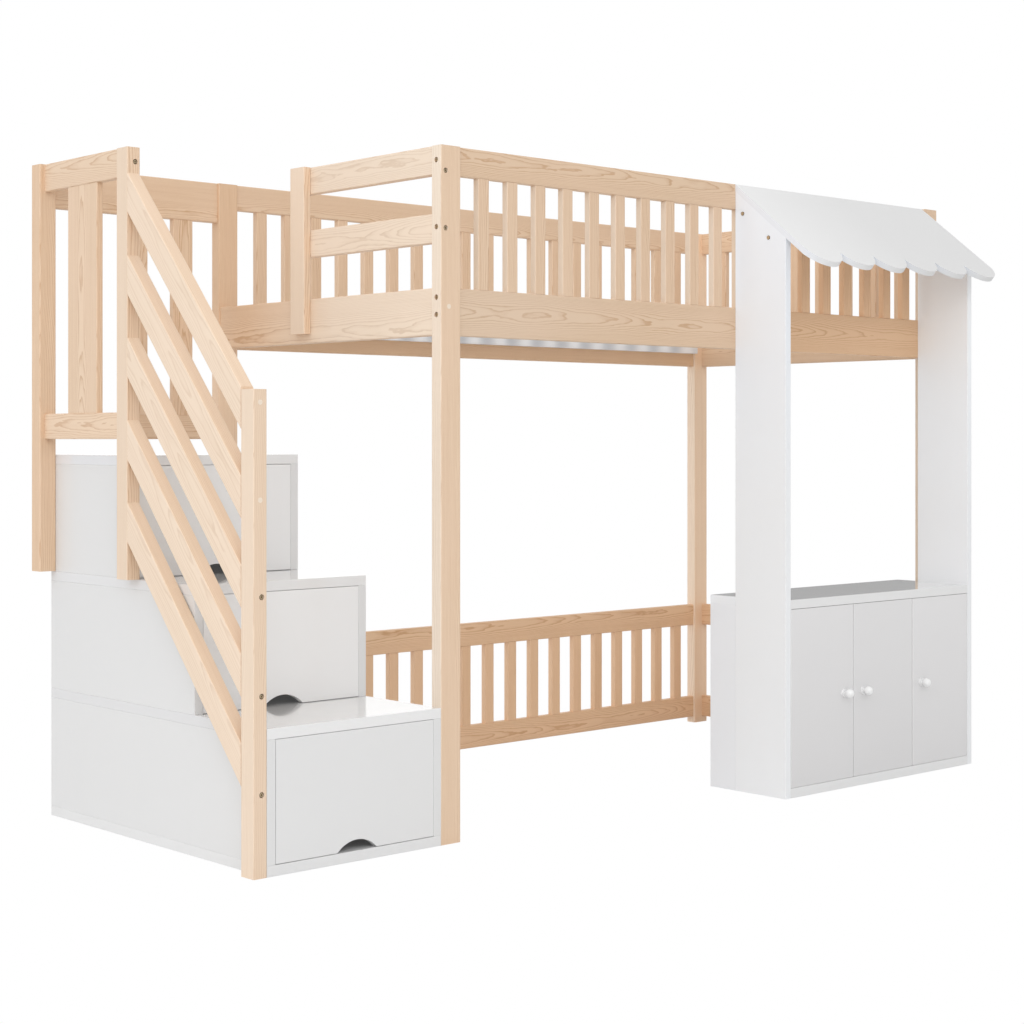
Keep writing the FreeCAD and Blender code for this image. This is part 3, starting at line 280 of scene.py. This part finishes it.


# painted light and shade: how much paler a piece is painted on its faces along X and on the others, and how bright it
# is made overall; the wood plugs alone are pale as their own colour
PALE = {"newel_post": (0.44, 0.22, 0.97), "post_front_left": (0.78, 0.12, 0.98), "handrail_boards": (0.45, 0.20, 1.0),
        "left_end_rail_bottom": (0.66, 0.1, 0.99), "left_end_rail_middle": (0.60, 0.1, 0.975), "left_end_rail_top": (0.60, 0.1, 0.96),
        "entry_post": (0.50, 0.1, 1.0), "platform_post_front": (0.40, 0.1, 0.97),
        "platform_side_board": (0.15, 0.0, 0.955), "platform_side_rail_top": (0.15, 0.0, 0.94), "platform_side_rail_bottom": (0.15, 0.0, 0.97),
        "post_back_left": (0.15, 0.05, 1.04), "post_back_right": (0.45, 0.06, 1.14), "front_balusters": (0.55, 0.05, 0.93),
        "back_balusters": (0.12, 0.0, 0.96), "rear_guard_balusters": (0.15, 0.0, 0.98),
        "wood_plugs": (0.75, 0.75, 1.0), "front_rail_top": (0.0, 0.0, 0.90), "front_rail_bottom": (0.0, 0.15, 0.88),
        "back_rail_top": (0.0, 0.0, 0.93), "back_rail_bottom": (0.0, 0.0, 0.91), "post_front_right": (0.5, 0.05, 0.94)}


# painted light: where the paler faces fade out along a piece
PALE_SPAN = {"left_end_rail_bottom": (Y, 0.08, 0.47), "front_rail_bottom": (X, -0.45, 0.0), "post_back_left": (Z, 1.20, 1.32)}


def give(node, material):
    o = nodes[node]
    o.data.materials.clear()
    o.data.materials.append(material)


for name, (axes, row) in WOOD.items():
    wide = name.endswith(("rail_top", "rail_bottom", "rail_middle", "rails", "board", "boards"))
    if wide:
        pith = ((seeded(name, 1) - 0.5) * 0.05, 0.030 + 0.03 * seeded(name, 2))
    else:
        pith = (0.035 + 0.05 * seeded(name, 1), 0.045 + 0.03 * seeded(name, 2))
    if seeded(name, 3) > 0.5:
        pith = (pith[0], -pith[1])
    pale = PALE.get(name, (0.0, 0.0, 0.96))
    # painted shade: the low guard and the back bottom rail stand in shade and get a warmer, redder tint
    low = name in ("rear_guard_rails", "end_guard_rails", "rear_guard_balusters", "end_guard_balusters", "back_rail_bottom")
    give(name, pine(name, local_straight(name, axes, row), pith, pale[:2], pale[2],
                    rings=480.0 if wide else 350.0, wander=0.012 if wide else 0.014, warm=0.7 if low else 0.0,
                    shade_redden_from=0.34 if name in ("front_balusters", "front_rail_bottom") else None, pale_span=PALE_SPAN.get(name),
                    upper=(1.20, 1.32, (0.89, 0.85, 0.81)) if name == "post_back_left" else None, grain=0.7 if name == "newel_post" else 1.0))

lo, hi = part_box("handrail_boards")
run = 0.4826
rise = 0.525
give("handrail_boards", pine("handrail_boards",
     local_sloping("handrail_boards", run, rise, 0.1989, ((lo.y + hi.y) / 2, lo.z + (rise + 0.096) / 2), (lo.x + hi.x) / 2),
     (0.012, -0.045), PALE["handrail_boards"][:2], PALE["handrail_boards"][2], grain=0.62))


# --------------------------------------------------------------- white lacquer
def lacquer(name, albedo, rough, coat, peel=0.05, tint=(1.0, 1.0, 1.0), fade=None):
    m, T, bsdf = new_material("white_" + name)
    co = T.add("ShaderNodeTexCoord").outputs["Object"]
    seed = round(seeded(name) * 50, 2)
    shifted = T.add("ShaderNodeVectorMath", operation="ADD")
    T.put(shifted.inputs[0], co)
    shifted.inputs[1].default_value = (seed, seed * 0.7, seed * 0.3)
    p = shifted.outputs[0]
    cloud = T.noise(p, 2.3, 3.0, 0.5)
    speck = T.noise(p, 38.0, 3.0, 0.6)
    wipe = T.noise(p, 9.0, 4.0, 0.6)
    a = tuple(albedo * k * 0.985 for k in tint) + (1.0,)
    b = tuple(min(1.0, albedo * k * 1.012) for k in tint) + (1.0,)
    colour = T.mix(T.math("ADD", T.math("MULTIPLY", cloud, 0.75), T.math("MULTIPLY", speck, 0.25), clamp=True), a, b)
    if fade:
        # painted light and shade: a slow change of brightness along one axis, and a painted tint on the faces along X,
        # which the light meets differently
        axis, z0, z1, low_tint, high_tint, edge_tint = fade
        high = T.math("DIVIDE", T.math("SUBTRACT", T.split(co)["xyz".index(axis)], z0), z1 - z0, clamp=True)
        colour = T.mix(1.0, colour, T.mix(high, (*low_tint, 1.0), (*high_tint, 1.0)), "MULTIPLY")
        side = T.split(T.add("ShaderNodeNewGeometry").outputs["Normal"])[0]
        side = T.math("MULTIPLY", side, side)
        colour = T.mix(side, colour, T.mix(1.0, colour, (*edge_tint, 1.0), "MULTIPLY"))
    T.put(bsdf.inputs["Base Color"], colour)
    r = T.math("ADD", rough - 0.03, T.math("MULTIPLY", wipe, 0.09))
    T.put(bsdf.inputs["Roughness"], r)
    bsdf.inputs["IOR"].default_value = 1.5
    bsdf.inputs["Coat Weight"].default_value = coat
    bsdf.inputs["Coat Roughness"].default_value = 0.04
    orange = T.noise(p, 420.0, 1.0, 0.4)
    bump = T.add("ShaderNodeBump")
    bump.inputs["Strength"].default_value = peel
    bump.inputs["Distance"].default_value = 0.0004
    T.put(bump.inputs["Height"], orange)
    T.put(bsdf.inputs["Normal"], bump.outputs[0])
    return m


PLAIN = (1.0, 1.0, 1.0)
# painted shade: the doors are darker towards the bottom
DOOR_FADE = ("z", 0.05, 0.50, (0.945, 0.935, 0.94), (1.025, 1.015, 1.02), PLAIN)
# painted light and shade: the same white lacquer gets a lighter or darker albedo from piece to piece to match the
# light on each, and the fades are painted gradients and side tints
WHITES = {  # albedo, roughness, coat, orange peel, tint, fade
    "stair_tread_one": (0.82, 0.14, 0.8, 0.02, PLAIN, ("z", 0.0, 1.0, PLAIN, PLAIN, (0.89, 0.89, 0.90))),
    "stair_tread_two": (0.81, 0.14, 0.8, 0.02, PLAIN, ("z", 0.0, 1.0, PLAIN, PLAIN, (0.94, 0.94, 0.95))),
    "stair_tread_three": (0.81, 0.14, 0.8, 0.02, PLAIN, ("z", 0.0, 1.0, PLAIN, PLAIN, (0.96, 0.97, 1.0))),
    "stair_side_panels": (0.745, 0.32, 0.2, 0.05), "stair_base_plate": (0.77, 0.32, 0.2, 0.05),
    "stair_back_panels": (0.74, 0.36, 0.1, 0.05),
    "stair_door_one": (0.765, 0.32, 0.2, 0.05), "stair_door_two": (0.86, 0.32, 0.2, 0.05), "stair_door_three": (0.845, 0.32, 0.2, 0.05),
    "stall_side_boards": (0.875, 0.32, 0.2, 0.05, (0.985, 1.0, 1.018), ("z", 0.8, 1.65, PLAIN, (0.968, 1.0, 1.05), PLAIN)),
    "cupboard_rear_sides": (0.86, 0.32, 0.2, 0.05, (0.985, 1.0, 1.03)),
    "cupboard_counter": (0.80, 0.07, 1.0, 0.01, PLAIN, ("z", 0.0, 1.0, PLAIN, PLAIN, (1.12, 1.15, 1.19))),
    "cupboard_knob_left": (0.86, 0.20, 0.5, 0.02), "cupboard_knob_middle": (0.86, 0.20, 0.5, 0.02), "cupboard_knob_right": (0.86, 0.20, 0.5, 0.02),
    "cupboard_door_left": (0.755, 0.16, 0.6, 0.02, PLAIN, DOOR_FADE), "cupboard_door_middle": (0.745, 0.16, 0.6, 0.02, PLAIN, DOOR_FADE),
    "cupboard_door_right": (0.765, 0.16, 0.6, 0.02, PLAIN, DOOR_FADE),
    "roof_panel": (0.80, 0.32, 0.2, 0.05, PLAIN, ("x", 0.36, 0.80, (1.05, 1.05, 1.05), (0.95, 0.95, 0.95), (0.944, 0.986, 1.053))),
}
def counter_top(m):
    """Painted reflection: faint streaks and a lighter colour on the level face of the counter."""
    T = Tree(m.node_tree)
    bsdf = [n for n in m.node_tree.nodes if n.type == "BSDF_PRINCIPLED"][0]
    old = bsdf.inputs["Base Color"].links[0].from_socket
    co = T.split(T.add("ShaderNodeTexCoord").outputs["Object"])
    streak_reflection = T.noise(T.xyz(T.math("MULTIPLY", co[0], 160.0), T.math("MULTIPLY", co[1], 6.0), co[2]), 1.0, 3.0, 0.6)
    level = T.split(T.add("ShaderNodeNewGeometry").outputs["Normal"])[2]
    level = T.math("MULTIPLY", T.math("SUBTRACT", level, 0.9), 10.0, clamp=True)
    top = T.mix(streak_reflection, (0.80, 0.80, 0.81, 1.0), (0.94, 0.94, 0.95, 1.0))
    T.put(bsdf.inputs["Base Color"], T.mix(level, old, top))
    return m


def brighter_right(m):
    """Painted light: the right-hand tall board is painted a little whiter high up under the roof, where it stands in
    shade.
    """
    T = Tree(m.node_tree)
    bsdf = [n for n in m.node_tree.nodes if n.type == "BSDF_PRINCIPLED"][0]
    old = bsdf.inputs["Base Color"].links[0].from_socket
    co = T.split(T.add("ShaderNodeTexCoord").outputs["Object"])
    right = T.math("GREATER_THAN", co[0], 0.8)
    high = T.math("DIVIDE", T.math("SUBTRACT", co[2], 0.75), 0.65, clamp=True)
    colour = T.mix(T.math("MULTIPLY", right, high), old, (0.965, 0.985, 1.0, 1.0))
    T.put(bsdf.inputs["Base Color"], colour)
    return m


for n in nodes:
    if n.startswith(("stair_", "stall_", "cupboard_", "roof_")):
        board = lacquer(n, *WHITES.get(n, (0.80, 0.32, 0.2)))
        if n == "cupboard_counter":
            board = counter_top(board)
        if n == "stall_side_boards":
            board = brighter_right(board)
        give(n, board)
# light falls on the ledges through the gaps between the slats and leaves soft patches
SLAT_FIRST, SLAT_WIDE, SLAT_PITCH = -0.635, 0.062, 0.1065


def patched_ledge(m):
    T = Tree(m.node_tree)
    bsdf = [n for n in m.node_tree.nodes if n.type == "BSDF_PRINCIPLED"][0]
    old = bsdf.inputs["Base Color"].links[0].from_socket
    x = T.split(T.add("ShaderNodeTexCoord").outputs["Object"])[0]
    gap = SLAT_FIRST + SLAT_WIDE + (SLAT_PITCH - SLAT_WIDE) / 2
    wave = T.math("COSINE", T.math("MULTIPLY", T.math("SUBTRACT", x, gap), 2 * math.pi / SLAT_PITCH))
    wave = T.math("ADD", T.math("MULTIPLY", wave, 0.5), 0.5)
    T.put(bsdf.inputs["Base Color"], T.mix(1.0, old, T.mix(wave, (0.84, 0.85, 0.87, 1.0), (1.08, 1.08, 1.08, 1.0)), "MULTIPLY"))
    return m


for n in ("bed_slats", "slat_cleats"):
    board = lacquer(n, 0.92, 0.45, 0.0, 0.1, (0.985, 0.99, 1.0))
    give(n, patched_ledge(board) if n == "slat_cleats" else board)


# ----------------------------------------------------------------------- metal
def metal(name, rough, shade, rim=False):
    m, T, bsdf = new_material("metal_" + name)
    co = T.add("ShaderNodeTexCoord").outputs["Object"]
    scratch = T.noise(co, 900.0, 3.0, 0.6)
    cloud = T.noise(co, 160.0, 2.0, 0.5)
    colour = T.mix(cloud, tuple(k * 0.72 for k in shade) + (1.0,), tuple(shade) + (1.0,))
    if rim:
        # painted shade: rims, sockets and sides are painted dark, as if in shade; only the flat faces of the heads are
        # bright
        nx, ny, nz = T.split(T.add("ShaderNodeNewGeometry").outputs["True Normal"])
        flat = T.math("MAXIMUM", T.math("ABSOLUTE", nx), T.math("ABSOLUTE", ny))
        flat = T.math("MULTIPLY", T.math("SUBTRACT", flat, 0.985), 80.0, clamp=True)
        colour = T.mix(flat, (0.12, 0.082, 0.048, 1.0), colour)
    T.put(bsdf.inputs["Base Color"], colour)
    bsdf.inputs["Metallic"].default_value = 1.0
    T.put(bsdf.inputs["Roughness"], T.math("ADD", rough, T.math("MULTIPLY", scratch, 0.16)))
    bump = T.add("ShaderNodeBump")
    bump.inputs["Strength"].default_value = 0.15
    bump.inputs["Distance"].default_value = 0.0002
    T.put(bump.inputs["Height"], scratch)
    T.put(bsdf.inputs["Normal"], bump.outputs[0])
    return m


give("frame_bolts", metal("frame_bolts", 0.24, (0.74, 0.60, 0.40), True))
give("pivot_pins", metal("pivot_pins", 0.28, (0.70, 0.70, 0.70)))

# ------------------------------------------------------------------------ stage
bpy.ops.mesh.primitive_plane_add(size=60, location=(0, 0, 0))
floor = bpy.context.object
floor.name = "floor"
m = bpy.data.materials.new("pale_floor")
m.use_nodes = True
m.node_tree.nodes.clear()
T = Tree(m.node_tree)
out = T.add("ShaderNodeOutputMaterial")
dif = T.add("ShaderNodeBsdfDiffuse")
dif.inputs["Color"].default_value = (0.80, 0.80, 0.80, 1.0)
emi = T.add("ShaderNodeEmission")
emi.inputs["Color"].default_value = (1.0, 1.0, 1.0, 1.0)
emi.inputs["Strength"].default_value = 1.0
lp = T.add("ShaderNodeLightPath")
mx = T.add("ShaderNodeMixShader")
T.put(mx.inputs[0], lp.outputs["Is Camera Ray"])
T.put(mx.inputs[1], dif.outputs[0])
T.put(mx.inputs[2], emi.outputs[0])
T.put(out.inputs[0], mx.outputs[0])
floor.data.materials.append(m)

world = bpy.data.worlds.new("studio")
scene.world = world
world.use_nodes = True
world.node_tree.nodes.clear()
T = Tree(world.node_tree)
out = T.add("ShaderNodeOutputWorld")
co = T.add("ShaderNodeTexCoord").outputs["Generated"]
sx, sy, sz = T.split(co)
# a pale room: bright overhead, dimmer at the far horizon and to the right
fwd = T.math("ADD", T.math("MULTIPLY", sx, 0.67), T.math("MULTIPLY", sy, 0.74))
fwd = T.math("ADD", T.math("MULTIPLY", fwd, 0.5), 0.5)
shade = T.ramp(fwd, [(0.0, grey(0.86)), (0.45, grey(0.90)), (0.75, grey(0.74)), (1.0, grey(0.52))])
left = T.ramp(T.math("ADD", T.math("MULTIPLY", T.math("SUBTRACT", T.math("MULTIPLY", sy, 0.67), T.math("MULTIPLY", sx, 0.74)), 0.5), 0.5),
              [(0.0, grey(0.82)), (0.5, grey(0.90)), (1.0, grey(1.0))])
up = T.ramp(T.math("ADD", T.math("MULTIPLY", sz, 0.5), 0.5), [(0.0, grey(0.9)), (0.5, grey(0.80)), (0.7, grey(1.0)), (1.0, grey(1.0))])
glow = T.mix(1.0, T.mix(1.0, shade, up, "MULTIPLY"), left, "MULTIPLY")
bg = T.add("ShaderNodeBackground")
T.put(bg.inputs[0], glow)
bg.inputs[1].default_value = 0.98
white = T.add("ShaderNodeBackground")
white.inputs[0].default_value = (1, 1, 1, 1)
white.inputs[1].default_value = 1.0
lp = T.add("ShaderNodeLightPath")
# polished level faces mirror a bright backdrop that stands behind the left part of the set
drop = T.add("ShaderNodeBackground")
drop.inputs[0].default_value = (1, 1, 1, 1)
drop.inputs[1].default_value = 1.12
behind = T.math("MULTIPLY", T.math("SUBTRACT", fwd, 0.90), 20.0, clamp=True)
leftward = T.math("SUBTRACT", T.math("MULTIPLY", sy, 0.671), T.math("MULTIPLY", sx, 0.741))
behind = T.math("MULTIPLY", behind, T.math("MULTIPLY", T.math("ADD", leftward, 0.09), 20.0, clamp=True))
mirror = T.add("ShaderNodeMixShader")
T.put(mirror.inputs[0], T.math("MULTIPLY", behind, lp.outputs["Is Glossy Ray"]))
T.put(mirror.inputs[1], bg.outputs[0])
T.put(mirror.inputs[2], drop.outputs[0])
mx = T.add("ShaderNodeMixShader")
T.put(mx.inputs[0], lp.outputs["Is Camera Ray"])
T.put(mx.inputs[1], mirror.outputs[0])
T.put(mx.inputs[2], white.outputs[0])
T.put(out.inputs[0], mx.outputs[0])


def softbox(name, place, aim, size, power):
    light = bpy.data.lights.new(name, "AREA")
    light.shape = "RECTANGLE"
    light.size, light.size_y = size
    light.energy = power
    ob = bpy.data.objects.new(name, light)
    scene.collection.objects.link(ob)
    ob.location = place
    ob.rotation_euler = (Vector(aim) - Vector(place)).to_track_quat("-Z", "Y").to_euler()
    return ob


softbox("light_left", (-9.0, -2.5, 4.0), (-0.6, 0.0, 0.9), (5.0, 4.0), 55)
softbox("light_front", (-3.4, -4.9, 3.1), (-0.2, 0.0, 0.8), (2.6, 2.2), 42)
softbox("light_top", (-0.4, -0.4, 5.0), (0.0, 0.0, 0.0), (5.0, 4.0), 22)


def fill(name, toward, strength):
    """Weak, very wide light without shadows, as from large white reflectors round the set."""
    light = bpy.data.lights.new(name, "SUN")
    light.energy = strength
    light.angle = math.radians(120)
    light.use_shadow = False
    light.cycles.cast_shadow = False
    ob = bpy.data.objects.new(name, light)
    scene.collection.objects.link(ob)
    ob.rotation_euler = Vector(toward).to_track_quat("-Z", "Y").to_euler()


fill("fill_left", (1.0, 0.22, -0.25), 0.82)
fill("fill_front", (0.1, 1.0, -0.2), 0.28)
fill("fill_floor", (0.1, 0.3, 1.0), 0.55)

# ----------------------------------------------------------------------- camera
cam_data = bpy.data.cameras.new("camera")
cam = bpy.data.objects.new("camera", cam_data)
scene.collection.objects.link(cam)
cam.location = (-3.69867, -3.88505, 0.97309)
cam.rotation_euler = (math.radians(90), 0, math.radians(-42.186))
cam_data.sensor_width = 36.0
cam_data.lens = 67.796
cam_data.shift_x = 0.0
cam_data.shift_y = -0.0712
cam_data.clip_start, cam_data.clip_end = 0.05, 100
cam_data.dof.use_dof = False
scene.camera = cam
scene.view_settings.view_transform = "Standard"
scene.view_settings.look = "None"
scene.view_settings.exposure = 0.0

bpy.context.view_layer.update()
